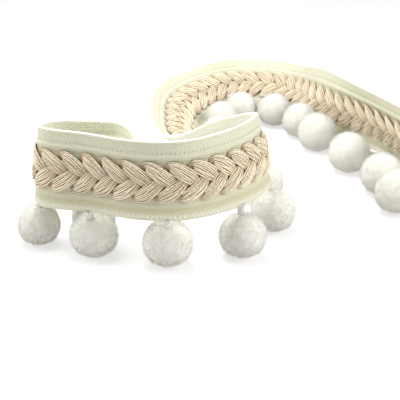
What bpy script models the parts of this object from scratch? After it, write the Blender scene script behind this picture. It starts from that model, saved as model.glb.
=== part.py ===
# Pompom fringe trim, a loose length lying on its edge in an S of two bends.
# A narrow woven tape carries a flat three-strand braid along its middle on one face
# and a row of pompoms on its lower edge, the hem. It stands on its pompoms in front,
# turns back on itself at the right, lies over in the long bend at the left and stands
# on its hem along the far side.
# Metres, +Z up. The origin is the middle of the floor that the trim covers.

import bpy
import bmesh
import numpy as np
from mathutils import Vector

MM = 0.001

TAPE_WIDTH = 24.0 * MM
TAPE_THICKNESS = 1.2 * MM
TAPE_STEPS = 108            # steps along the tape
TURN_SHARE = 10.0 * MM      # steps are closer in bends, as if a turn of one radian were this long
RIDGE_HEIGHT = 0.3 * MM     # corded ridges in the tape's two borders

BRAID_WIDTH = 12.2 * MM
BRAID_THICKNESS = 1.4 * MM
BRAID_GROOVE = 0.75 * MM    # how deep the grooves between petals are
BRAID_EDGE = 0.5 * MM       # thickness at the two edges of the braid
BRAID_SLANT = 1.05          # how far a petal runs along for each step across
PETAL_PITCH = 6.4 * MM
PETAL_STEPS = 4
BRAID_END_MARGIN = 1.0 * MM  # the braid stops this far from the tape's cut ends

GAP = 0.3 * MM              # air between two pieces that touch
BRAID_GAP = 0.5 * MM        # the same under the braid, where the tape twists
STALK_WIDTH = 1.3 * MM
STALK_LIFT = 0.2 * MM       # a stalk never comes nearer to the floor than this
FLAT_SPOT = 0.91            # a pompom is flat below, at this share of its radius under its middle
FLAT_SLOPE = -0.8           # the part of a pompom that looks down more than this is flat

# the middle of the floor that the trim covers, in the table's own coordinates
MIDDLE_X = 13.4 * MM
MIDDLE_Y = 391.7 * MM

# The rim is the tape's upper edge. A row is one section of the tape, from the end that is
# tucked in behind the front run to the cut end at the far right: where the rim is, how high
# it stands, and how far the hem lies from it in plan. Millimetres.
#     rim x,  rim y, height, hem dx, hem dy
SECTIONS = (
    (-18.0, 316.5, 39.4, 0.0, 0.0),       # tucked end
    (-19.7, 324.3, 39.0, 0.4, 0.2),
    (-24.2, 331.9, 38.6, 0.6, 0.8),
    (-33.8, 334.1, 38.4, 0.3, 1.6),       # short run behind
    (-42.0, 333.5, 38.6, -0.8, 2.0),
    (-46.1, 329.6, 39.0, -2.0, 0.8),      # tight turn at the left
    (-45.0, 325.0, 39.4, -1.6, -1.3),
    (-41.0, 322.4, 39.6, -0.6, -1.6),
    (-33.9, 320.2, 39.6, -0.4, -0.8),     # front run
    (-26.6, 316.8, 39.6, 0.0, 0.0),
    (-19.4, 313.7, 39.6, 0.0, 0.0),
    (-12.4, 312.4, 39.6, 0.0, 0.0),
    (-5.5, 313.0, 39.6, 0.1, -0.4),
    (1.4, 316.5, 39.6, 0.8, -0.9),
    (8.0, 322.5, 39.6, 1.6, -1.9),
    (13.7, 330.9, 39.3, 3.1, -2.0),
    (16.5, 338.9, 38.8, 4.6, -0.1),       # turn back at the right
    (14.1, 348.6, 35.8, 4.6, 2.2),
    (7.5, 357.7, 31.0, 4.4, 3.6),
    (1.6, 365.9, 26.0, 7.0, 5.5),         # second run, leaning over
    (-4.9, 373.2, 20.4, 11.3, 8.8),
    (-10.7, 379.5, 17.2, 15.0, 11.0),
    (-15.5, 391.2, 15.8, 18.1, 8.3),      # long bend, lying back on its hem
    (-17.8, 415.4, 15.6, 19.0, 1.0),
    (-16.0, 439.6, 15.6, 18.7, -5.0),
    (-7.9, 455.5, 16.0, 14.5, -12.5),
    (4.0, 467.0, 16.8, 7.0, -17.5),
    (16.4, 474.6, 16.2, 1.4, -18.5),
    (28.6, 472.4, 16.5, -5.8, -17.4),
    (40.2, 464.0, 17.0, -10.4, -14.5),
    (47.9, 440.9, 22.0, -9.0, -7.2),      # far run, standing up again
    (52.0, 424.5, 24.4, -2.4, -1.2),
    (56.2, 412.4, 25.1, 3.4, 1.2),
    (65.0, 393.8, 25.2, 4.4, 1.5),
    (70.2, 381.0, 25.3, 4.5, 1.4),
    (74.3, 370.8, 25.3, 4.5, 1.4),
    (77.1, 363.3, 25.3, 4.5, 1.4),        # cut end
)

# Where each pompom lies on the floor, and its radius. Millimetres.
#        x,     y,  radius
POMPOMS = (
    (-32.5, 337.5, 7.0),                  # behind the front run
    (-48.5, 331.2, 6.8),
    (-31.3, 322.4, 7.5),
    (-9.3, 316.2, 7.7),
    (12.6, 322.3, 7.4),
    (22.6, 341.0, 7.3),
    (20.4, 364.0, 7.2),
    (13.8, 386.5, 7.3),                   # inside the loop
    (7.2, 412.0, 7.0),
    (8.1, 432.6, 6.4),
    (15.9, 443.7, 6.5),
    (28.6, 440.4, 6.7),
    (37.6, 427.4, 6.9),
    (42.8, 413.0, 7.4),
    (51.8, 391.4, 7.5),
    (60.4, 370.8, 7.5),
    (63.1, 355.4, 7.5),
)

# Section of the tape from rim (0) to hem (1), and its ridges: 1 is the crest of a ridge
TAPE_ACROSS = (
    (0.000, 0.4),
    (0.030, 0.8),
    (0.070, 0.0),
    (0.135, -0.4),
    (0.190, 1.0),
    (0.235, 0.0),
    (0.765, 0.0),
    (0.870, -0.3),
    (0.910, 0.9),
    (1.000, 0.3),
)

# Section of the braid, from its upper edge (-1) to its lower edge (1): 1 is its full height
BRAID_ACROSS = (
    (-1.00, 0.0),
    (-0.70, 0.85),
    (-0.35, 1.0),
    (0.00, 0.8),
    (0.35, 1.0),
    (0.70, 0.85),
    (1.00, 0.0),
)

# The same for its flat back, from the lower edge to the upper one
BRAID_BACK = (1.0, 0.65, 0.3, 0.0, -0.3, -0.65, -1.0)

# Room that a pompom leaves in front of the tape, from rim (0) to hem (1): a soft ball is
# pressed flat against the braid and the border. Millimetres off the tape's middle.
PRESSED_ACROSS = (0.0, 0.18, 0.30, 0.68, 0.90, 1.0)
PRESSED_ROOM = (1.4, 1.7, 3.0, 3.0, 1.4, 1.3)


def smooth_through(knots, rows, at):
    """Natural cubic curve through the rows at their knots, read at the places in at."""
    count = len(knots)
    step = np.diff(knots)
    rise = np.diff(rows, axis=0) / step[:, None]
    matrix = np.eye(count)
    target = np.zeros_like(rows)
    for i in range(1, count - 1):
        matrix[i, i - 1:i + 2] = step[i - 1], 2 * (step[i - 1] + step[i]), step[i]
        target[i] = 6 * (rise[i] - rise[i - 1])
    bend = np.linalg.solve(matrix, target)
    i = np.clip(np.searchsorted(knots, at, side="right") - 1, 0, count - 2)
    past = (at - knots[i])[:, None]
    span = step[i][:, None]
    slope = rise[i] - span * (2 * bend[i] + bend[i + 1]) / 6
    return rows[i] + past * (slope + past * (bend[i] / 2 + past * (bend[i + 1] - bend[i]) / (6 * span)))


class Cloth:
    """The tape's middle surface: rim plus a straight line across, along the S."""

    def __init__(self):
        table = np.array(SECTIONS) * MM
        table[:, 0] -= MIDDLE_X
        table[:, 1] -= MIDDLE_Y
        middle = table[:, :2] + table[:, 3:] / 2
        chords = np.linalg.norm(np.diff(middle, axis=0), axis=1)
        knots = np.concatenate(([0.0], np.cumsum(chords)))
        self.fine = smooth_through(knots, table, np.linspace(0.0, knots[-1], 2000))
        line = self.fine[:, :3] + self.across(self.fine) * TAPE_WIDTH / 2
        self.run = np.concatenate(([0.0], np.cumsum(np.linalg.norm(np.diff(line, axis=0), axis=1))))
        self.length = self.run[-1]
        way = np.diff(self.fine[:, :2], axis=0)
        heading = np.unwrap(np.arctan2(way[:, 1], way[:, 0]))
        turned = np.concatenate(([0.0, 0.0], np.cumsum(np.abs(np.diff(heading)))))
        self.effort = self.run + TURN_SHARE * turned

    def steps(self, count):
        """Places along the tape, closer together where it bends."""
        return np.interp(np.linspace(0.0, self.effort[-1], count + 1), self.effort, self.run)

    @staticmethod
    def across(rows):
        """Unit direction from the rim to the hem, dropping as far as the width allows."""
        drop = np.sqrt(TAPE_WIDTH ** 2 - rows[:, 3] ** 2 - rows[:, 4] ** 2)
        return np.column_stack((rows[:, 3], rows[:, 4], -drop)) / TAPE_WIDTH

    def rows_at(self, along):
        return np.column_stack([np.interp(along, self.run, column) for column in self.fine.T])

    def point(self, along, across, lift):
        """Place that lies along the tape, across it from the rim, lifted off the braid's face."""
        along, across, lift = np.broadcast_arrays(along, across, lift)
        shape = along.shape
        along = np.clip(along.ravel(), 0.0, self.length)
        width = across.reshape(-1, 1)
        rows = self.rows_at(along)
        side = self.across(rows)
        reach = 0.5 * MM
        ahead = self.rows_at(np.minimum(along + reach, self.length))
        behind = self.rows_at(np.maximum(along - reach, 0.0))
        forward = (ahead[:, :3] + width * self.across(ahead)) - (behind[:, :3] + width * self.across(behind))
        face = np.cross(side, forward)
        face /= np.linalg.norm(face, axis=1)[:, None]
        place = rows[:, :3] + width * side + lift.reshape(-1, 1) * face
        return place.reshape(shape + (3,))


def make_material(name, colour, roughness):
    material = bpy.data.materials.new(name)
    material.use_nodes = True
    shader = material.node_tree.nodes["Principled BSDF"]
    shader.inputs["Base Color"].default_value = (*colour, 1.0)
    shader.inputs["Roughness"].default_value = roughness
    shader.inputs["Metallic"].default_value = 0.0
    return material


def put_object(name, form, material, collection):
    mesh = bpy.data.meshes.new(name)
    form.to_mesh(mesh)
    form.free()
    mesh.shade_smooth()
    mesh.materials.append(material)
    thing = bpy.data.objects.new(name, mesh)
    collection.objects.link(thing)
    return thing


def make_tape(cloth, material, collection):
    """Woven tape: an open ridged surface, given its thickness by Solidify."""
    across = np.array([row[0] for row in TAPE_ACROSS]) * TAPE_WIDTH
    ridge = np.array([row[1] for row in TAPE_ACROSS]) * RIDGE_HEIGHT
    along = cloth.steps(TAPE_STEPS)
    places = cloth.point(along[:, None], across[None, :], ridge[None, :])

    form = bmesh.new()
    bmesh.ops.create_grid(form, x_segments=TAPE_STEPS, y_segments=len(across) - 1, size=0.5)
    for vert in form.verts:
        step = round((vert.co.x + 0.5) * TAPE_STEPS)
        place = round((0.5 - vert.co.y) * (len(across) - 1))
        vert.co = places[step, place]
    tape = put_object("tape", form, material, collection)
    thicken = tape.modifiers.new("thickness", "SOLIDIFY")
    thicken.thickness = TAPE_THICKNESS
    thicken.offset = 0.0
    return tape


def braid_rings(cloth):
    """Rings of points along the braid: slanted rows of petals on top, a flat back below."""
    side = np.array([row[0] for row in BRAID_ACROSS])
    crown = np.array([row[1] for row in BRAID_ACROSS])
    first = BRAID_END_MARGIN
    last = cloth.length - BRAID_END_MARGIN
    petals = round((last - first) / PETAL_PITCH)
    along = np.linspace(first, last, petals * PETAL_STEPS + 1)
    step = np.arange(len(along)) % PETAL_STEPS

    # one row of petals is half a petal behind the other, as in a plait of three strands
    upper = np.where(step == 0, 1.0, 0.0)[:, None] * (side < 0)
    lower = np.where(step == PETAL_STEPS // 2, 1.0, 0.0)[:, None] * (side > 0)
    groove = (upper + lower) * BRAID_GROOVE
    height = BRAID_EDGE + crown * (BRAID_THICKNESS - BRAID_EDGE) - groove * crown

    # the slant dies out towards both ends, which are cut square
    near_end = np.minimum(along - first, last - along)
    slant = BRAID_SLANT * np.clip(near_end / BRAID_WIDTH, 0.0, 1.0)
    half = BRAID_WIDTH / 2
    shifted = along[:, None] + slant[:, None] * half * (0.5 - np.abs(side[None, :]))
    across = TAPE_WIDTH / 2 + side * half
    base = TAPE_THICKNESS / 2 + BRAID_GAP
    top = cloth.point(shifted, across[None, :], base + height)

    back_side = np.array(BRAID_BACK)
    back_shifted = along[:, None] + slant[:, None] * half * (0.5 - np.abs(back_side[None, :]))
    back_across = TAPE_WIDTH / 2 + back_side * half
    back = cloth.point(back_shifted, back_across[None, :], base)
    return np.concatenate((top, back), axis=1)


def loft(rings):
    """Closed body through rings of like points, with a face over each end."""
    form = bmesh.new()
    loops = [[form.verts.new(place) for place in ring] for ring in rings]
    count = len(loops[0])
    for here, there in zip(loops, loops[1:]):
        for i in range(count):
            after = (i + 1) % count
            form.faces.new((here[i], here[after], there[after], there[i]))
    form.faces.new(reversed(loops[0]))
    form.faces.new(loops[-1])
    bmesh.ops.recalc_face_normals(form, faces=form.faces)
    return form


def stalk_root(cloth, place):
    """Where a stalk ends: just off the tape's lower edge, on the side that looks at the place."""
    along = np.linspace(2 * MM, cloth.length - 2 * MM, 1200)
    edge = cloth.point(along, TAPE_WIDTH, 0.0)
    nearest = np.argmin(np.linalg.norm(edge - place, axis=1))
    edge = edge[nearest]
    down = edge - cloth.point(along[nearest], TAPE_WIDTH - MM, 0.0)
    face = cloth.point(along[nearest], TAPE_WIDTH, MM) - edge
    down /= np.linalg.norm(down)
    face /= np.linalg.norm(face)
    way = max((place - edge) @ down, 0.0) * down + ((place - edge) @ face) * face
    way /= np.linalg.norm(way)
    clear = (TAPE_THICKNESS / 2 + RIDGE_HEIGHT) * abs(way @ face) + GAP
    return edge + clear * way, way


def press_against(cloth, places):
    """Moves the places that lie in the tape or the braid off its face, as soft pile gives way."""
    along = np.linspace(0.0, cloth.length, 500)
    across = np.linspace(0.0, TAPE_WIDTH, 25)
    middle = cloth.point(along[:, None], across[None, :], 0.0).reshape(-1, 3)
    face = cloth.point(along[:, None], across[None, :], MM).reshape(-1, 3) - middle
    face /= MM
    near = np.array([np.argmin(((middle - place) ** 2).sum(axis=1)) for place in places])
    share = (near % len(across)) / (len(across) - 1)
    room = np.interp(share, PRESSED_ACROSS, PRESSED_ROOM) * MM
    lift = ((places - middle[near]) * face[near]).sum(axis=1)
    push = np.where(share < 1.0, np.clip(room - lift, 0.0, None), 0.0)
    return places + push[:, None] * face[near]


def make_pompom(number, row, cloth, material, collection):
    """Cut-pile ball with a small flat spot, and the short stalk that ties it to the hem."""
    x, y, radius = (value * MM for value in row)
    centre = np.array((x - MIDDLE_X, y - MIDDLE_Y, radius * FLAT_SPOT))
    form = bmesh.new()
    bmesh.ops.create_cube(form, size=2.0)
    bmesh.ops.subdivide_edges(form, edges=form.edges[:], cuts=3, use_grid_fill=True)
    for vert in form.verts:
        way = vert.co.normalized()
        lump = 1.0 + 0.02 * np.sin(5.0 * way.x + number) * np.sin(6.0 * way.y - number) * (1.0 - abs(way.z))
        vert.co = way * radius * lump
        if way.z < FLAT_SLOPE:
            vert.co.z = -radius * FLAT_SPOT
        vert.co += Vector(centre)
    pressed = press_against(cloth, np.array([vert.co[:] for vert in form.verts]))
    for vert, place in zip(form.verts, pressed):
        vert.co = place

    # the face that looks at the hem is drawn out into the stalk
    root, outward = (Vector(value) for value in stalk_root(cloth, centre))
    aim = (root - Vector(centre)).normalized()
    form.faces.ensure_lookup_table()
    form.normal_update()
    seat = max(form.faces, key=lambda face: face.normal.dot(aim))
    grown = bmesh.ops.extrude_discrete_faces(form, faces=[seat])["faces"][0]
    middle = grown.calc_center_median()
    turn = grown.normal.rotation_difference(Vector(-outward))
    size = STALK_WIDTH / 2 / max((vert.co - middle).length for vert in grown.verts)
    for vert in grown.verts:
        vert.co = root + turn @ ((vert.co - middle) * size)
        vert.co.z = max(vert.co.z, STALK_LIFT)
    return put_object(f"pompom_{number:02d}", form, material, collection)


def main():
    for thing in list(bpy.data.objects):
        bpy.data.objects.remove(thing)
    collection = bpy.data.collections.new("pompom_fringe_trim")
    bpy.context.scene.collection.children.link(collection)

    ivory = make_material("ivory tape", (0.80, 0.79, 0.68), 0.85)
    beige = make_material("beige braid", (0.66, 0.55, 0.42), 0.85)
    white = make_material("white pile", (0.90, 0.90, 0.88), 0.95)

    cloth = Cloth()
    make_tape(cloth, ivory, collection)
    put_object("braid", loft(braid_rings(cloth)), beige, collection)
    for number, row in enumerate(POMPOMS, start=1):
        make_pompom(number, row, cloth, white, collection)


main()
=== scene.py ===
import bpy
import bmesh
import numpy as np
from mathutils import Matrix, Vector


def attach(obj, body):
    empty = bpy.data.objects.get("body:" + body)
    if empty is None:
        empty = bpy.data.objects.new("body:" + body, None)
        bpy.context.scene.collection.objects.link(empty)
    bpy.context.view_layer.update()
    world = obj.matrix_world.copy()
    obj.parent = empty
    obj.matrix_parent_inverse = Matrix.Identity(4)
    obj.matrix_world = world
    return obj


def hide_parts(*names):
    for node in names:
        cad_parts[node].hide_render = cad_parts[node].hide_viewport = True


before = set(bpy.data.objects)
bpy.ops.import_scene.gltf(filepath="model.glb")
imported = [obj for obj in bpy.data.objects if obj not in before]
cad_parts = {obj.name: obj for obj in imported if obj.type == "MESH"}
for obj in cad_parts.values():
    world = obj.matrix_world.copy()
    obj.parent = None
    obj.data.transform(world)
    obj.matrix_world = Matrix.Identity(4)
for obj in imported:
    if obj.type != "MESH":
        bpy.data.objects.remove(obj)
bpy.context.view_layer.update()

scene = bpy.context.scene
mm = 0.001
fineStep = 1  # a quick try takes coarser steps along the tape


# Camera
view = dict(
    place=(-0.0134, -0.3917, 0.1527),  # where the lens is, m
    down=22.7,                         # degrees below the horizon
    lens=108.0,                        # mm
    sensor=36.0,                       # mm
    nearest=0.01,                      # m, nothing closer is drawn
)
camera = bpy.data.objects.new("camera", bpy.data.cameras.new("camera"))
camera.location = view["place"]
camera.rotation_euler = (np.radians(90.0 - view["down"]), 0.0, 0.0)
camera.data.lens = view["lens"]
camera.data.sensor_width = view["sensor"]
camera.data.clip_start = view["nearest"]
scene.collection.objects.link(camera)
scene.camera = camera


# Small helpers
def wave(at, cycles, seed):
    # Soft noise along a line: the sum over f of sin(2 pi (cycles f at + p)) / f with a chance p for each f,
    # brought to about -1..1.
    factors = (1.0, 1.9, 3.3)
    reach = 1.6
    pick = np.random.default_rng(seed)
    total = 0.0
    for factor in factors:
        total = total + np.sin(2 * np.pi * (cycles * factor * at + pick.random())) / factor
    return total / reach


def makeMesh(name, places, quads, threes, material, cloth=None, tone=None):
    # One object from arrays of places and faces. For each point, cloth is (along, across, lift) in mm and
    # tone is a shade.
    mesh = bpy.data.meshes.new(name)
    places = np.asarray(places, dtype=np.float32).reshape(-1, 3)
    corners = np.concatenate((np.ravel(quads), np.ravel(threes))).astype(np.int32)
    sizes = np.concatenate((np.full(len(quads), 4), np.full(len(threes), 3))).astype(np.int32)
    starts = np.concatenate(([0], np.cumsum(sizes)[:-1])).astype(np.int32)
    mesh.vertices.add(len(places))
    mesh.vertices.foreach_set("co", places.ravel())
    mesh.loops.add(len(corners))
    mesh.loops.foreach_set("vertex_index", corners)
    mesh.polygons.add(len(sizes))
    mesh.polygons.foreach_set("loop_start", starts)
    mesh.polygons.foreach_set("loop_total", sizes)
    mesh.update(calc_edges=True)
    mesh.shade_smooth()
    if cloth is not None:
        layer = mesh.attributes.new("cloth", "FLOAT_VECTOR", "POINT")
        layer.data.foreach_set("vector", np.asarray(cloth, dtype=np.float32).ravel())
    if tone is not None:
        layer = mesh.attributes.new("tone", "FLOAT", "POINT")
        layer.data.foreach_set("value", np.asarray(tone, dtype=np.float32).ravel())
    mesh.materials.append(material)
    thing = bpy.data.objects.new(name, mesh)
    scene.collection.objects.link(thing)
    return thing


def tubeFaces(tubes, steps, sides):
    # Quads of closed tubes whose points are numbered (tube, step, side), then threes that close both ends on
    # two more points for each tube, numbered after all of the rings.
    tube, step, side = np.meshgrid(np.arange(tubes), np.arange(steps - 1), np.arange(sides), indexing="ij")
    here = (tube * steps + step) * sides
    after = (side + 1) % sides
    quads = np.stack((here + side, here + after, here + sides + after, here + sides + side), axis=-1)
    tube, side = np.meshgrid(np.arange(tubes), np.arange(sides), indexing="ij")
    after = (side + 1) % sides
    first = tube * steps * sides
    last = first + (steps - 1) * sides
    start = tubes * steps * sides + 2 * tube
    threes = np.concatenate((
        np.stack((start, first + after, first + side), axis=-1).reshape(-1, 3),
        np.stack((start + 1, last + side, last + after), axis=-1).reshape(-1, 3),
    ))
    return quads.reshape(-1, 4), threes


def withEnds(rings):
    # The points of tubes, given as (tube, step, side), then the middles of each tube's first and last ring.
    ends = np.stack((rings[:, 0].mean(axis=1), rings[:, -1].mean(axis=1)), axis=1)
    return np.concatenate((rings.reshape(-1, 3), ends.reshape(-1, 3)))


# Materials
class Value:
    # A socket that takes part in arithmetic: each operator adds a Math node.

    def __init__(self, material, socket):
        self.material = material
        self.socket = socket

    def maths(self, operation, *others):
        values = dict(enumerate((self, *others)))
        return self.material.node("ShaderNodeMath", dict(operation=operation), values)

    def __add__(self, other):
        return self.maths("ADD", other)

    def __sub__(self, other):
        return self.maths("SUBTRACT", other)

    def __mul__(self, other):
        return self.maths("MULTIPLY", other)

    def __rsub__(self, other):
        return (self * -1.0) + other

    __radd__ = __add__
    __rmul__ = __mul__

    def sin(self):
        return self.maths("SINE")

    def turns(self, pitch):
        # a wave that comes round once in every pitch
        return (self * (2 * np.pi / pitch)).sin()

    def band(self, middle, width):
        # 1 at the middle, falling evenly to 0 at a width from it
        return 1.0 - ((self - middle) * (1.0 / width)).maths("ABSOLUTE").maths("MINIMUM", 1.0)

    def bands(self, table):
        # the sum of a table's bands, each times its strength
        return sum(self.band(middle, width) * strength for middle, width, strength in table)

    def step(self, low, high):
        # smoothly from 0 at low to 1 at high
        values = {"Value": self, "From Min": low, "From Max": high}
        return self.material.node("ShaderNodeMapRange", dict(interpolation_type="SMOOTHSTEP"), values)


class Material:
    # A Principled material: constants sit on the shader's own sockets, everything else is nodes.

    def __init__(self, name, **constants):
        self.material = bpy.data.materials.new(name)
        self.material.use_nodes = True
        self.tree = self.material.node_tree
        self.shader = self.tree.nodes["Principled BSDF"]
        for socket, value in constants.items():
            self.shader.inputs[socket.replace("_", " ")].default_value = value

    def node(self, kind, settings, values, output=0):
        # adds a node: its settings first, then a value or a link for each socket
        made = self.tree.nodes.new(kind)
        for key, value in settings.items():
            setattr(made, key, value)
        for key, value in values.items():
            if isinstance(value, Value):
                self.tree.links.new(value.socket, made.inputs[key])
            else:
                made.inputs[key].default_value = value
        return Value(self, made.outputs[output])

    def attribute(self, name, output="Fac"):
        return self.node("ShaderNodeAttribute", dict(attribute_name=name), {}, output)

    def split(self, vector):
        made = self.node("ShaderNodeSeparateXYZ", {}, {0: vector})
        return [Value(self, output) for output in made.socket.node.outputs]

    def noise(self, vector, scale, detail):
        return self.node("ShaderNodeTexNoise", {}, {"Vector": vector, "Scale": scale, "Detail": detail})

    def blend(self, factor, first, second):
        # sockets 6 and 7 are a Mix node's two colours, and output 2 is their blend
        return self.node("ShaderNodeMix", dict(data_type="RGBA"), {0: factor, 6: first, 7: second}, 2)

    def bump(self, height, distance, strength):
        return self.node("ShaderNodeBump", {}, {"Height": height, "Distance": distance, "Strength": strength})

    def set(self, socket, value):
        self.tree.links.new(value.socket, self.shader.inputs[socket])


def clothMaterial(looks):
    made = Material(
        "ribbed tape", Roughness=0.9, Specular_IOR_Level=0.15, Sheen_Weight=0.25, Sheen_Roughness=0.6)
    place = made.attribute("cloth", "Vector")
    along, across, lift = made.split(place)
    front = lift.step(-0.2, 0.2)
    fibres = made.noise(place, looks["fibreScale"], 3.0)
    # fine cords run along the tape, ribs lie across it and slanted stitches bind both of its edges
    cords = across.turns(looks["cordPitch"])
    ribs = along.turns(looks["ribPitch"])
    turns = (along - across * looks["stitchSlant"]).turns(looks["stitchPitch"])
    hem = across.band(*looks["hemStitches"])
    stitches = turns * (hem + across.band(*looks["rimStitches"]) * looks["rimShare"])
    # a row of needle holes above the inner ridge
    holes = across.band(*looks["holeRow"]) * along.turns(looks["holePitch"]).step(0.0, 0.9) * front
    relief = looks["relief"]
    height = cords * relief["cords"] + stitches * relief["stitches"]
    height = height + ribs * (relief["backRibs"] - front * (relief["backRibs"] - relief["frontRibs"]))
    height = height + fibres * relief["fibres"] - holes * relief["holes"]
    made.set("Normal", made.bump(height, looks["threadHeight"] * mm, looks["threadStrength"]))
    # painted shade beside the braid and in the grooves, paler on the hem's ridge, a painted highlight on the
    # rim
    back = made.blend(across.bands(looks["backLines"]), looks["back"], looks["shade"])
    # painted light: the back is painted paler than the face, standing in for the brighter light inside the
    # loops
    colour = made.blend(front, back, looks["front"])
    beside = across.bands(looks["shadeLines"]).maths("MINIMUM", 1.0)
    colour = made.blend(beside * front, colour, looks["shade"])
    colour = made.blend(across.bands(looks["hemLine"]) * front, colour, looks["ridge"])
    # painted shade: the face under the braid is painted brown, for the yarns' shadow that shows in the gaps
    # between petals
    upper, lower = looks["underBraid"]
    colour = made.blend(across.step(*upper) * across.step(*lower) * front, colour, looks["under"])
    # painted highlight along the rim, where light from above catches the rolled edge
    colour = made.blend(across.step(looks["rimWidth"], 0.0), colour, looks["rim"])
    # painted shade between the slanted stitches on the hem
    between = (turns * -1.0).step(0.1, 0.9) * hem
    colour = made.blend(between * looks["stitchShade"], colour, looks["shade"])
    # painted shade in the needle holes; the darker fibre flecks are the cloth's own
    specks = holes * looks["holeShade"] + fibres.step(0.6, 0.3) * looks["fibreShade"]
    made.set("Base Color", made.blend(specks, colour, looks["hole"]))
    return made.material


def yarnMaterial(looks):
    made = Material("plaited yarn", Roughness=0.85, Specular_IOR_Level=0.2)
    place = made.attribute("cloth", "Vector")
    along, crest, light = made.split(place)
    tone = made.attribute("tone")
    # plies twist round each yarn, from a place of its own
    twist = along * (2 * np.pi / looks["plyPitch"]) + crest * looks["plySlant"] + tone * looks["plyShift"]
    ply = twist.sin()
    fleck = made.noise(place, looks["fleckScale"], 3.0)
    relief = ply * looks["plyShare"] + fleck
    made.set("Normal", made.bump(relief, looks["plyHeight"] * mm, looks["plyStrength"]))
    toneAdds, fleckAdds, plyAdds = looks["paler"]
    paler = tone * toneAdds + fleck * fleckAdds + ply.step(-0.6, 1.0) * plyAdds
    colour = made.blend(paler, looks["top"], looks["light"])
    # painted shade: the grooves between yarns and the ends that dive under the next petal are painted brown
    groove = looks["grooveLight"]
    lit = light * (groove + crest.step(-0.1, 0.9) * (1.0 - groove))
    made.set("Base Color", made.blend(lit, looks["deep"], colour))
    return made.material


def pileMaterial(looks):
    made = Material(
        "white pile", Roughness=1.0, Specular_IOR_Level=0.1, Sheen_Weight=0.6, Sheen_Roughness=0.7)
    place = made.node("ShaderNodeTexCoord", {}, {}, "Object")
    tufts = made.noise(place, looks["tuftScale"], 3.0)
    patches = made.noise(place, looks["patchScale"], 1.0)
    made.set("Normal", made.bump(tufts, looks["tuftHeight"] * mm, looks["tuftStrength"]))
    colour = made.blend(patches.step(0.35, 0.65), looks["grey"], looks["white"])
    # painted shade: the pile is painted greyer towards the floor
    height = made.split(place)[2]
    pressed = height.step(looks["shadeTo"] * mm, 0.0) * looks["shadeShare"]
    made.set("Base Color", made.blend(pressed, colour, looks["below"]))
    return made.material


# The cloth's run
# A row is one section of the tape: where the rim is, how high it stands and how far the
# hem lies from it in plan, from the tucked end to the cut end at the far right.
#     rim x,  rim y, height, hem dx, hem dy   (mm, from the point under the lens)
sections = np.array((
    (-18.0, 316.5, 39.4, 0.0, 0.0),       # tucked end
    (-19.7, 324.3, 39.0, 0.4, 0.2),
    (-24.2, 331.9, 38.6, 0.6, 0.8),
    (-33.8, 334.1, 38.4, 0.3, 1.6),       # short run behind
    (-42.0, 333.5, 38.6, -0.8, 2.0),
    (-46.1, 329.6, 39.0, -2.0, 0.8),      # tight turn at the left
    (-45.0, 325.0, 39.4, -1.6, -1.3),
    (-41.0, 322.4, 39.6, -0.6, -1.6),
    (-33.9, 320.2, 39.6, -0.4, -0.8),     # front run
    (-26.6, 316.8, 39.6, 0.0, 0.0),
    (-19.4, 313.7, 39.6, 0.0, 0.0),
    (-12.4, 312.4, 39.6, 0.0, 0.0),
    (-5.5, 313.0, 39.6, 0.1, -0.4),
    (1.4, 316.5, 39.6, 0.8, -0.9),
    (8.0, 322.5, 39.6, 1.6, -1.9),
    (13.7, 330.9, 39.3, 3.1, -2.0),
    (16.5, 338.9, 38.8, 4.6, -0.1),       # turn back at the right
    (14.1, 348.6, 35.8, 4.6, 2.2),
    (7.5, 357.7, 31.0, 4.4, 3.6),
    (1.6, 365.9, 26.0, 7.0, 5.5),         # second run, leaning over
    (-4.9, 373.2, 20.4, 11.3, 8.8),
    (-10.7, 379.5, 17.2, 15.0, 11.0),
    (-15.5, 391.2, 15.8, 18.1, 8.3),      # long bend, lying back on its hem
    (-17.8, 415.4, 15.6, 19.0, 1.0),
    (-16.0, 439.6, 15.6, 18.7, -5.0),
    (-7.9, 455.5, 16.0, 14.5, -12.5),
    (4.0, 467.0, 16.8, 7.0, -17.5),
    (16.4, 474.6, 16.2, 1.4, -18.5),
    (28.6, 472.4, 16.5, -5.8, -17.4),
    (40.2, 464.0, 17.0, -10.4, -14.5),
    (47.9, 440.9, 22.0, -9.0, -7.2),      # far run, standing up again
    (52.0, 424.5, 24.4, -2.4, -1.2),
    (56.2, 412.4, 25.1, 3.4, 1.2),
    (65.0, 393.8, 25.2, 4.4, 1.5),
    (70.2, 381.0, 25.3, 4.5, 1.4),
    (74.3, 370.8, 25.3, 4.5, 1.4),
    (77.1, 363.3, 25.3, 4.5, 1.4),        # cut end
))
middle = np.array((13.4, 391.7))          # of the floor that the trim covers, in the same numbers
tapeWidth = 24.0
tapeThickness = 1.2
runPoints = 4000                          # places at which the run is worked out
slopeReach = 0.5                          # mm to each side over which its direction is taken


def curveThrough(knots, rows, at):
    # Natural cubic curve: on each span row + p (slope + p (bend / 2 + p (nextBend - bend) / (6 span))), with
    # the bends solved so that the slope runs on at every knot.
    count = len(knots)
    span = np.diff(knots)
    rise = np.diff(rows, axis=0) / span[:, None]
    matrix = np.eye(count)
    target = np.zeros_like(rows)
    inner = np.arange(1, count - 1)
    matrix[inner, inner - 1] = span[:-1]
    matrix[inner, inner] = 2 * (span[:-1] + span[1:])
    matrix[inner, inner + 1] = span[1:]
    target[inner] = 6 * (rise[1:] - rise[:-1])
    bend = np.linalg.solve(matrix, target)
    i = np.clip(np.searchsorted(knots, at, side="right") - 1, 0, count - 2)
    past = (at - knots[i])[:, None]
    width = span[i][:, None]
    slope = rise[i] - width * (2 * bend[i] + bend[i + 1]) / 6
    return rows[i] + past * (slope + past * (bend[i] / 2 + past * (bend[i + 1] - bend[i]) / (6 * width)))


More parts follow.
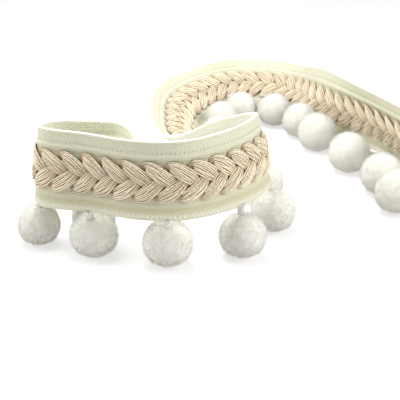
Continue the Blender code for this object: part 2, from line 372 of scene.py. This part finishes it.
class Cloth:
    # The tape's middle surface in mm: point(along, across, lift) = rim(along) + across side(along) +
    # lift face, where side points from the rim to the hem and face out of the braid's side. Past an end it
    # goes straight on.

    def __init__(self, table):
        table = table.copy()
        table[:, :2] -= middle
        halfway = table[:, :2] + table[:, 3:] / 2
        knots = np.concatenate(([0.0], np.cumsum(np.linalg.norm(np.diff(halfway, axis=0), axis=1))))
        self.fine = curveThrough(knots, table, np.linspace(0.0, knots[-1], runPoints))
        line = self.fine[:, :3] + self.side(self.fine) * tapeWidth / 2
        self.run = np.concatenate(([0.0], np.cumsum(np.linalg.norm(np.diff(line, axis=0), axis=1))))
        self.length = self.run[-1]

    def side(self, rows):
        drop = np.sqrt(tapeWidth ** 2 - rows[:, 3] ** 2 - rows[:, 4] ** 2)
        return np.column_stack((rows[:, 3], rows[:, 4], -drop)) / tapeWidth

    def rowsAt(self, along):
        return np.column_stack([np.interp(along, self.run, column) for column in self.fine.T])

    def point(self, along, across, lift):
        along, across, lift = np.broadcast_arrays(along, across, lift)
        shape = along.shape
        s = np.clip(along.ravel(), 0.0, self.length)
        width = across.reshape(-1, 1)
        rows = self.rowsAt(s)
        side = self.side(rows)
        ahead = self.rowsAt(np.minimum(s + slopeReach, self.length))
        behind = self.rowsAt(np.maximum(s - slopeReach, 0.0))
        forward = ahead[:, :3] + width * self.side(ahead) - behind[:, :3] - width * self.side(behind)
        face = np.cross(side, forward)
        face /= np.linalg.norm(face, axis=1)[:, None]
        past = (along.ravel() - s)[:, None] * forward / np.linalg.norm(forward, axis=1)[:, None]
        return (rows[:, :3] + width * side + lift.reshape(-1, 1) * face + past).reshape(shape + (3,))


cloth = Cloth(sections)
print(f"cloth: {cloth.length:.1f} mm long")


# Tape
tape = dict(
    step=0.6,                # mm between rows of faces
    facePoints=60,           # across the face
    backPoints=40,           # across the back
    edgePoints=7,            # round the hem, and as many round the rim
    ridges=(                 # across, height and half width of each raised line on the face, mm
        (0.3, 0.10, 0.6),
        (3.5, -0.10, 0.5),
        (4.8, 0.30, 0.55),
        (19.3, 0.14, 0.45),
        (20.9, -0.12, 0.8),
        (22.6, 0.32, 0.65),
    ),
    backShare=0.5,           # how much of each ridge shows on the back
    looks=dict(              # in mm; a line's numbers are its place across, its half width and its strength
        cordPitch=0.62,
        ribPitch=0.50,
        stitchPitch=1.25,
        stitchSlant=0.6,     # mm along for each mm across
        hemStitches=(22.6, 1.3),
        rimStitches=(0.9, 1.2),
        rimShare=0.4,        # the rim stitches' height as a share of the hem's
        holePitch=1.25,
        holeRow=(3.5, 0.5),
        fibreScale=1.6,      # noise cells a mm
        threadHeight=0.16,
        threadStrength=0.9,
        relief=dict(cords=0.25, stitches=0.6, frontRibs=0.12, backRibs=0.3, fibres=1.3, holes=1.2),
        # painted shade in the back's two grooves
        backLines=((3.5, 0.7, 0.3), (20.9, 1.0, 0.3)),
        # painted shade beside the braid and in the grooves next to it
        shadeLines=((20.6, 2.2, 1.0), (18.1, 0.9, 0.7), (6.2, 0.8, 1.0)),
        hemLine=((22.6, 1.0, 0.7),),
        underBraid=((8.2, 9.4), (16.8, 15.6)),
        rimWidth=0.3,
        # painted shade between the hem's stitches
        stitchShade=0.35,
        holeShade=0.45,
        fibreShade=0.16,
        front=(0.62, 0.61, 0.46, 1.0),
        # painted light: a paler copy of the face's colour for the back
        back=(0.88, 0.88, 0.71, 1.0),
        # painted shade: the khaki beside the braid, in grooves and between stitches
        shade=(0.51, 0.48, 0.31, 1.0),
        ridge=(0.78, 0.77, 0.62, 1.0),
        # painted shade under the braid
        under=(0.85, 0.53, 0.24, 1.0),
        # painted highlight on the rim
        rim=(0.88, 0.88, 0.81, 1.0),
        # painted shade in the needle holes, and the darker fibre flecks
        hole=(0.36, 0.35, 0.23, 1.0),
    ),
)


def makeTape(tape):
    # A closed section carried along the cloth: across runs down the face, round the hem, up the back and
    # round the rim. The face's lift is t / 2 plus the ridges' h exp(-(d / w)^2), and the back has a share of
    # that.
    half = tapeThickness / 2
    down = np.linspace(half, tapeWidth - half, tape["facePoints"])
    up = np.linspace(tapeWidth - half, half, tape["backPoints"])
    turn = np.linspace(0.0, np.pi, tape["edgePoints"] + 2)[1:-1]
    across = np.concatenate((down, tapeWidth - half + half * np.sin(turn), up, half - half * np.sin(turn)))
    lift = half * np.concatenate((np.ones(len(down)), np.cos(turn), -np.ones(len(up)), -np.cos(turn)))
    raised = np.zeros_like(across)
    for at, height, width in tape["ridges"]:
        raised += height * np.exp(-((across - at) / width) ** 2)
    raised *= np.where(lift > 0.0, lift, lift * tape["backShare"]) / half
    along = np.append(np.arange(0.0, cloth.length, tape["step"] * fineStep), cloth.length)
    places = cloth.point(along[:, None], across[None, :], (lift + raised)[None, :])
    quads, threes = tubeFaces(1, len(along), len(across))
    marks = np.stack(np.broadcast_arrays(along[:, None], across[None, :], lift[None, :]), axis=-1)
    marks = marks.reshape(-1, 3)
    marks = np.concatenate((marks, marks[:1], marks[-1:]))
    made = makeMesh(
        "tape_cloth", withEnds(places[None]) * mm, quads, threes, clothMaterial(tape["looks"]), cloth=marks)
    print(f"tape: {len(quads)} faces, lowest point {places[..., 2].min():.2f} mm")
    return made


# Braid
braid = dict(
    half=9.6,                # mm along the tape from one petal's tip to the next tip of the same strand
    strands=3,
    start=0.7,               # mm from the tape's cut ends
    slack=0.3,               # mm that a yarn may bulge past there
    yarns=8,
    yarnShare=0.112,         # a yarn's radius as a share of its strand's half width
    spread=0.92,             # how far over the half width the yarns' middles lie
    drift=0.07,              # how far a yarn wanders sideways, as a share of the half width
    driftWaves=0.11,         # a mm
    swell=0.16,              # how much a yarn's thickness changes
    swellWaves=0.19,         # a mm
    seeds=dict(drift=40, swell=90, tone=7, strand=20),
    crown=0.50,              # mm that a petal's middle yarns stand over its sides
    gap=0.03,                # mm between the tape's face and the lowest yarns
    sideDrop=0.9,            # how far its outer yarns drop from the crown, 1 being all the way
    step=0.5,                # mm between the rings of a yarn
    sides=6,
    coreWidth=0.93,          # a share of the strand's half width
    coreHeight=0.85,         # a share of the crown
    coreSides=10,
    flatten=2.6,             # mm: how readily the plait flattens where the tape bends round under it
    bendPoints=900,          # places at which that bend is taken
    bendOver=9,              # of them that it is evened over
    looks=dict(
        plyPitch=0.9,        # mm
        plySlant=2.0,        # how far a ply leads round the yarn, radians
        plyShift=40.0,       # how far one yarn's plies are moved from the next one's, radians
        plyShare=0.6,        # the plies' part of the relief, the flecks' being 1
        plyHeight=0.10,      # mm
        plyStrength=0.8,
        fleckScale=2.5,      # noise cells a mm
        paler=(0.5, 0.3, 0.25),                      # how much the yarn's tone, its flecks and its plies add
        grooveLight=0.32,    # share of the light that reaches the grooves
        top=(0.61, 0.51, 0.36, 1.0),
        # painted shade in the grooves and under the petals
        deep=(0.40, 0.25, 0.12, 1.0),
        light=(0.94, 0.87, 0.69, 1.0),
    ),
)
# One petal and the way under the others, as a strand crosses from its upper edge to its lower one. The next
# crossing is the mirror image.
#   share of the way, then ahead, across, half width and lift off the tape's middle in mm, then how much light
#   falls on it
crossing = np.array((
    (0.00, -1.0, -4.9, 1.10, 0.95, 0.60),
    (0.06, -1.0, -4.8, 1.50, 1.15, 1.00),
    (0.16, -0.6, -4.1, 1.90, 1.44, 1.00),
    (0.33, -0.2, -2.7, 2.10, 1.62, 1.00),
    (0.48, 0.0, -1.3, 1.98, 1.58, 0.90),
    (0.62, 0.1, 0.1, 1.50, 1.32, 0.60),
    (0.75, 0.0, 1.5, 1.00, 0.90, 0.10),
    (0.90, -0.4, 3.5, 0.90, 0.76, 0.00),
))


def strandAt(braid, number, along):
    # Middle, half width, lift and light of a strand: curves through the crossing's rows, which are repeated
    # and mirrored.
    spare = 4                # crossings past each end, so that the curves are settled there
    turn = np.arange(-spare, int(cloth.length / braid["half"]) + spare)
    knots = (turn[:, None] + crossing[None, :, 0]).ravel()
    rows = np.tile(crossing[:, 1:], (len(turn), 1))
    rows[:, 1] *= np.repeat(np.where(turn % 2 == 0, 1.0, -1.0), len(crossing))
    share = along / braid["half"] + number * 2.0 / braid["strands"]
    ahead, across, half, lift, light = curveThrough(knots, rows, share).T
    return along + ahead, across, half, lift, light


def flattened(braid, along):
    # 1 / (1 + flatten bend), where bend is how much longer a line 1 mm off the braid's face is than the
    # cloth.
    s = np.linspace(0.0, cloth.length, braid["bendPoints"])
    outer = np.linalg.norm(np.diff(cloth.point(s, tapeWidth / 2, 1.0), axis=0), axis=1) / (s[1] - s[0])
    over = braid["bendOver"]
    bend = np.convolve(np.clip(outer - 1.0, 0.0, None), np.full(over, 1 / over), mode="same")
    return 1.0 / (1.0 + braid["flatten"] * np.interp(along, s[1:], bend))


def makeStrand(braid, number, material):
    # Yarns lie side by side at even shares q of the strand's half width, each raised by
    # crown sqrt(1 - sideDrop q^2); a flat core fills the strand below them.
    first = braid["start"]
    last = cloth.length - braid["start"]
    along = np.linspace(first, last, int((last - first) / (braid["step"] * fineStep)))
    s, across, half, lift, light = strandAt(braid, number, along)
    way = np.stack((np.gradient(s), np.gradient(across)), axis=-1)
    way /= np.linalg.norm(way, axis=1)[:, None]
    low = tapeThickness / 2 + braid["gap"]

    def tubes(reach, raised, wide, high, sides, skip=1):
        # Closed tubes along the strand's middle, one for each row of reach. A ring's point at the angle a
        # lies reach + wide cos(a) beside the middle and lift + raised + high sin(a) off the cloth.
        ring = np.linspace(2 * np.pi, 0.0, sides, endpoint=False)
        at, ringS, ringA, wayS, wayA, base, lit = (
            row[None, ::skip, None] for row in (along, s, across, way[:, 0], way[:, 1], lift, light))
        out = reach[..., None] + wide[..., None] * np.cos(ring)
        height = base + raised[..., None] + high[..., None] * np.sin(ring)
        flat = low + (height - low) * flattened(braid, along[::skip])[None, :, None]
        ringS = np.clip(ringS - wayA * out, first - braid["slack"], last + braid["slack"])
        places = cloth.point(ringS, tapeWidth / 2 + ringA + wayS * out, np.maximum(flat, low))
        marks = np.stack([np.broadcast_to(mark, height.shape) for mark in (at, np.sin(ring), lit)], axis=-1)
        return withEnds(places), withEnds(marks), *tubeFaces(len(reach), len(along[::skip]), sides)

    seeds = braid["seeds"]
    yarnSeeds = [number * seeds["strand"] + yarn for yarn in range(braid["yarns"])]
    drift = np.stack([wave(along, braid["driftWaves"], seeds["drift"] + seed) for seed in yarnSeeds])
    swell = np.stack([wave(along, braid["swellWaves"], seeds["swell"] + seed) for seed in yarnSeeds])
    share = np.linspace(-1.0, 1.0, braid["yarns"])[:, None] + braid["drift"] * drift
    thick = braid["yarnShare"] * half * (1.0 + braid["swell"] * swell)
    arch = np.sqrt(np.clip(1.0 - braid["sideDrop"] * share ** 2, 0.0, 1.0))
    raised = braid["crown"] * arch * half / half.max()
    places, marks, quads, threes = tubes(half * braid["spread"] * share, raised, thick, thick, braid["sides"])
    tone = np.random.default_rng(seeds["tone"] + number).random(braid["yarns"])
    tones = np.concatenate((np.repeat(tone, len(along) * braid["sides"]), np.repeat(tone, 2)))
    coreWide = braid["coreWidth"] * half[None, ::2]
    coreHigh = braid["coreHeight"] * braid["crown"] * coreWide / half.max()
    still = np.zeros_like(coreWide)
    corePlaces, coreMarks, coreQuads, coreThrees = tubes(
        still, still, coreWide, coreHigh, braid["coreSides"], skip=2)
    coreMarks[:, 1:] = 0.0   # no light reaches the core
    return makeMesh(
        f"braid_strand_{number + 1}",
        np.concatenate((places, corePlaces)) * mm,
        np.concatenate((quads, coreQuads + len(places))),
        np.concatenate((threes, coreThrees + len(places))),
        material,
        cloth=np.concatenate((marks, coreMarks)),
        tone=np.concatenate((tones, np.zeros(len(corePlaces)))),
    )


# Pompoms
# Where each ball lies on the floor and its radius, in the sections' numbers.
#     x,     y,  radius   (mm)
balls = np.array((
    (-32.5, 337.5, 7.0),                  # behind the front run
    (-48.5, 331.2, 6.8),
    (-31.3, 322.4, 7.5),
    (-9.3, 316.2, 7.7),
    (12.6, 322.3, 7.4),
    (22.6, 341.0, 7.3),
    (20.4, 364.0, 7.2),
    (13.8, 386.5, 7.3),                   # inside the loop
    (7.2, 412.0, 7.0),
    (8.1, 432.6, 6.4),
    (15.9, 443.7, 6.5),
    (28.6, 440.4, 6.7),
    (37.6, 427.4, 6.9),
    (42.8, 413.0, 7.4),
    (51.8, 391.4, 7.5),
    (60.4, 370.8, 7.5),
    (63.1, 355.4, 7.5),
))
pile = dict(
    flatSpot=0.91,           # a ball's underside is this share of its radius below its middle
    give=0.6,                # mm above the flat spot in which the pile is squashed
    skin=0.05,               # mm that the squashed pile, the loose ends and the threads stay off the floor
    ballSkin=0.02,           # mm that any of the ball does
    subdivisions=4,          # of the ball's mesh
    seed=100,
    lumps=(                  # height as a share of the radius, and waves for each radian
        (0.008, 2.0),
        (0.005, 4.5),
    ),
    fibres=6000,             # loose pile ends that stand out of each ball
    fringe=0.6,              # mm that the loose ends reach past the pile's surface
    fibreRoot=0.25,          # mm below that surface where they start
    fibreShortest=0.695,     # mm
    fibreLongest=1.3,        # mm
    fibreWidth=0.05,         # mm from its middle to its corners
    fibreLean=0.45,          # how far they lean out of line
    fibreTurns=(0.0, 2.094, 4.189),          # where the corners are round it, radians
    bareBelow=-0.75,         # no loose ends lower than this, -1 being straight down
    threads=9,               # in the stalk that ties a ball to the hem
    threadRadius=0.36,       # mm
    threadSides=6,
    threadSteps=9,
    threadTwist=1.8,         # radians from hem to ball
    stalk=1.15,              # mm from the stalk's middle to its threads
    stalkWaist=(0.9, 0.2),   # that distance's mean and how it swings, as shares
    stalkClear=2.0,          # mm that a stalk stays off the tape's cut ends
    stalkPlaces=1500,        # on the hem that one is chosen from
    stalkAbove=0.9,          # mm above the hem's edge where the stalk starts
    stalkInto=0.75,          # share of the radius from the ball's middle where it ends
    press=dict(
        rows=700,            # places on the cloth that a ball is held against
        columns=25,
        near=16.0,           # mm from the ball's middle
        most=6.0,            # mm that the pile gives
        share=(0.0, 0.18, 0.30, 0.68, 0.90, 1.0),    # of the way from rim to hem
        room=(1.0, 1.2, 2.6, 2.6, 1.2, 0.9),         # mm that a ball stays off the tape's middle there
    ),
    looks=dict(
        tuftScale=1500.0,    # noise cells a metre
        tuftHeight=0.10,     # mm
        tuftStrength=0.7,
        patchScale=260.0,
        shadeTo=7.5,         # mm above the floor where the painted shade ends
        shadeShare=0.6,
        white=(0.72, 0.71, 0.64, 1.0),
        grey=(0.69, 0.68, 0.61, 1.0),
        # painted shade towards the floor
        below=(0.36, 0.31, 0.26, 1.0),
    ),
)
pressAlong = np.linspace(0, cloth.length, pile["press"]["rows"])[:, None]
pressAcross = np.linspace(0, tapeWidth, pile["press"]["columns"])[None, :]
clothGrid = cloth.point(pressAlong, pressAcross, 0.0)
clothFace = (cloth.point(pressAlong, pressAcross, 1.0) - clothGrid).reshape(-1, 3)
clothGrid = clothGrid.reshape(-1, 3)


def pressAway(press, centre, places):
    # Soft pile gives way: where its lift off the nearest place of the cloth is less than the room there, a
    # point moves by room - lift along the cloth's face.
    close = np.linalg.norm(clothGrid - centre, axis=1) < press["near"]
    if not close.any():
        return places
    grid = clothGrid[close]
    faces = clothFace[close]
    share = (np.nonzero(close)[0] % press["columns"]) / (press["columns"] - 1)
    near = np.argmin(((places[:, None, :] - grid[None, :, :]) ** 2).sum(axis=2), axis=1)
    lift = ((places - grid[near]) * faces[near]).sum(axis=1)
    room = np.interp(share[near], press["share"], press["room"])
    push = np.where(share[near] < 1.0, np.clip(room - lift, 0.0, press["most"]), 0.0)
    return places + push[:, None] * faces[near]


def looseEnds(pile, pick, surface):
    # Thin three-sided spikes: corners at root + width (cos(t) one + sin(t) two), tip at root + length lean.
    out = pick.normal(size=(pile["fibres"] // 1, 3))
    out /= np.linalg.norm(out, axis=1)[:, None]
    out = out[out[:, 2] > pile["bareBelow"]]
    count = len(out)
    lean = out + pile["fibreLean"] * pick.normal(size=(count, 3))
    lean /= np.linalg.norm(lean, axis=1)[:, None]
    root = surface(out) - out * pile["fibreRoot"]
    length = pile["fibreShortest"] + (pile["fibreLongest"] - pile["fibreShortest"]) * pick.random(count)
    tip = root + lean * length[:, None]
    tip[:, 2] = np.maximum(tip[:, 2], pile["skin"])
    one = np.cross(lean, pick.normal(size=(count, 3)))
    one /= np.linalg.norm(one, axis=1)[:, None]
    two = np.cross(lean, one)
    corners = [root + pile["fibreWidth"] * (np.cos(t) * one + np.sin(t) * two) for t in pile["fibreTurns"]]
    places = np.stack((*corners, tip), axis=1).reshape(-1, 3)
    index = np.arange(count)[:, None] * 4
    faces = ((0, 1, 3), (1, 2, 3), (2, 0, 3), (2, 1, 0))
    return places, np.concatenate([index + np.array(face) for face in faces])


def stalkThreads(pile, centre, radius):
    # Threads from the hem to the ball, twisted round each other: line + gather (cos(a) one + sin(a) two),
    # with a growing along the thread and gather least halfway.
    clear = pile["stalkClear"]
    along = np.linspace(clear, cloth.length - clear, pile["stalkPlaces"])
    hem = cloth.point(along, tapeWidth, 0.0)
    nearest = along[np.argmin(np.linalg.norm(hem - centre, axis=1))]
    start = cloth.point(nearest, tapeWidth - pile["stalkAbove"], 0.0)
    goal = centre + (start - centre) / np.linalg.norm(start - centre) * radius * pile["stalkInto"]
    t = np.linspace(0.0, 1.0, pile["threadSteps"])
    line = start + (goal - start) * t[:, None]
    aim = (goal - start) / np.linalg.norm(goal - start)
    one = np.cross(aim, (0.0, 0.0, 1.0) if abs(aim[2]) < 0.9 else (1.0, 0.0, 0.0))
    one /= np.linalg.norm(one)
    two = np.cross(aim, one)
    angle = np.arange(pile["threads"])[:, None] * 2 * np.pi / pile["threads"]
    angle = angle + pile["threadTwist"] * t[None, :]
    mean, swing = pile["stalkWaist"]
    gather = pile["stalk"] * (mean + swing * np.cos(2 * np.pi * t)[None, :])
    path = line[None] + gather[..., None] * (np.cos(angle)[..., None] * one + np.sin(angle)[..., None] * two)
    ring = np.linspace(0.0, 2 * np.pi, pile["threadSides"], endpoint=False)
    girth = np.cos(ring)[:, None] * one + np.sin(ring)[:, None] * two
    rings = path[:, :, None, :] + pile["threadRadius"] * girth
    rings[..., 2] = np.maximum(rings[..., 2], pile["skin"])
    return withEnds(rings), *tubeFaces(pile["threads"], len(t), pile["threadSides"])


def makePompom(pile, number, row, material):
    # One mesh of the ball, its loose ends and its stalk.
    x, y, radius = row
    centre = np.array((x - middle[0], y - middle[1], radius * pile["flatSpot"]))
    pick = np.random.default_rng(pile["seed"] + number)
    lumpWays = pick.normal(size=(3, 3))
    lumpWays /= np.linalg.norm(lumpWays, axis=1)[:, None]
    phases = pick.random(3) * 6.0

    def surface(ways):
        # (radius - fringe) (1 + lumps) along each way, a lump being size sin(waves (way . lumpWay + phase)).
        # A point at h < give above the flat spot is squashed to skin + give / 2 exp(h / give - 1).
        lumps = np.zeros(len(ways))
        for size, waves in pile["lumps"]:
            for lumpWay, phase in zip(lumpWays, phases):
                lumps += size * np.sin(waves * (ways @ lumpWay) + phase * waves)
        places = ways * ((radius - pile["fringe"]) * (1.0 + lumps))[:, None]
        give = pile["give"]
        floor = -radius * pile["flatSpot"]
        above = places[:, 2] - floor
        squashed = give * np.exp(np.minimum(above, give) / give - 1.0) * 0.5 + pile["skin"]
        places[:, 2] = floor + np.where(above < give, squashed, above)
        return pressAway(pile["press"], centre, places + centre)

    form = bmesh.new()
    bmesh.ops.create_icosphere(form, subdivisions=pile["subdivisions"], radius=1.0)
    ways = np.array([vert.co[:] for vert in form.verts])
    threes = np.array([[vert.index for vert in face.verts] for face in form.faces])
    form.free()
    ball = surface(ways)
    ball[:, 2] = np.maximum(ball[:, 2], pile["ballSkin"])
    ends, endThrees = looseEnds(pile, pick, surface)
    stalk, stalkQuads, stalkThrees = stalkThreads(pile, centre, radius)
    beforeStalk = len(ball) + len(ends)
    return makeMesh(
        f"ball_{number:02d}",
        np.concatenate((ball, ends, stalk)) * mm,
        stalkQuads + beforeStalk,
        np.concatenate((threes, endThrees + len(ball), stalkThrees + beforeStalk)),
        material,
    )


# Building
tapePiece = makeTape(tape)
yarnLook = yarnMaterial(braid["looks"])
strands = [makeStrand(braid, number, yarnLook) for number in range(braid["strands"])]
print(f"braid: {sum(len(strand.data.polygons) for strand in strands)} faces")
pileLook = pileMaterial(pile["looks"])
pompoms = [makePompom(pile, number, row, pileLook) for number, row in enumerate(balls, start=1)]
print(f"pompoms: {sum(len(ball.data.polygons) for ball in pompoms)} faces")

for piece in [tapePiece, *strands, *pompoms]:
    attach(piece, "root")
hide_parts("tape")
for strand in strands:
    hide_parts("braid")
for number, ball in enumerate(pompoms, start=1):
    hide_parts(f"pompom_{number:02d}")


# Floor and light
studio = dict(
    reach=4.0,               # half the floor's side, m
    floor=(0.42, 0.415, 0.41, 1.0),
    glow=0.56,               # light that the floor gives off itself, so that it stays white
    sky=0.50,
    lamps=(                  # name, place, watts, size in metres
        ("key", (-0.07, 0.00, 0.28), 0.72, 0.18),
        ("left", (-0.42, -0.08, 0.28), 1.15, 0.30),
        ("right", (0.34, -0.16, 0.24), 1.40, 0.30),
    ),
)
floorMesh = bpy.data.meshes.new("floor")
reach = studio["reach"]
floorCorners = [(-reach, -reach, 0), (reach, -reach, 0), (reach, reach, 0), (-reach, reach, 0)]
floorMesh.from_pydata(floorCorners, [], [(0, 1, 2, 3)])
floorLook = Material("floor", Roughness=1.0, Specular_IOR_Level=0.0)
floorLook.shader.inputs["Base Color"].default_value = studio["floor"]
floorLook.shader.inputs["Emission Color"].default_value = (1.0, 1.0, 1.0, 1.0)
floorLook.shader.inputs["Emission Strength"].default_value = studio["glow"]
floorMesh.materials.append(floorLook.material)
floor = bpy.data.objects.new("floor", floorMesh)
scene.collection.objects.link(floor)

world = bpy.data.worlds.new("studio")
world.use_nodes = True
world.node_tree.nodes["Background"].inputs["Color"].default_value = (1.0, 1.0, 1.0, 1.0)
world.node_tree.nodes["Background"].inputs["Strength"].default_value = studio["sky"]
scene.world = world


def addLamp(name, place, power, size):
    lamp = bpy.data.objects.new(name, bpy.data.lights.new(name, "AREA"))
    lamp.data.shape = "DISK"
    lamp.data.size = size
    lamp.data.energy = power
    lamp.location = place
    lamp.rotation_euler = (-Vector(place)).to_track_quat("-Z", "Y").to_euler()
    scene.collection.objects.link(lamp)


for lampRow in studio["lamps"]:
    addLamp(*lampRow)
scene.view_settings.view_transform = "Standard"
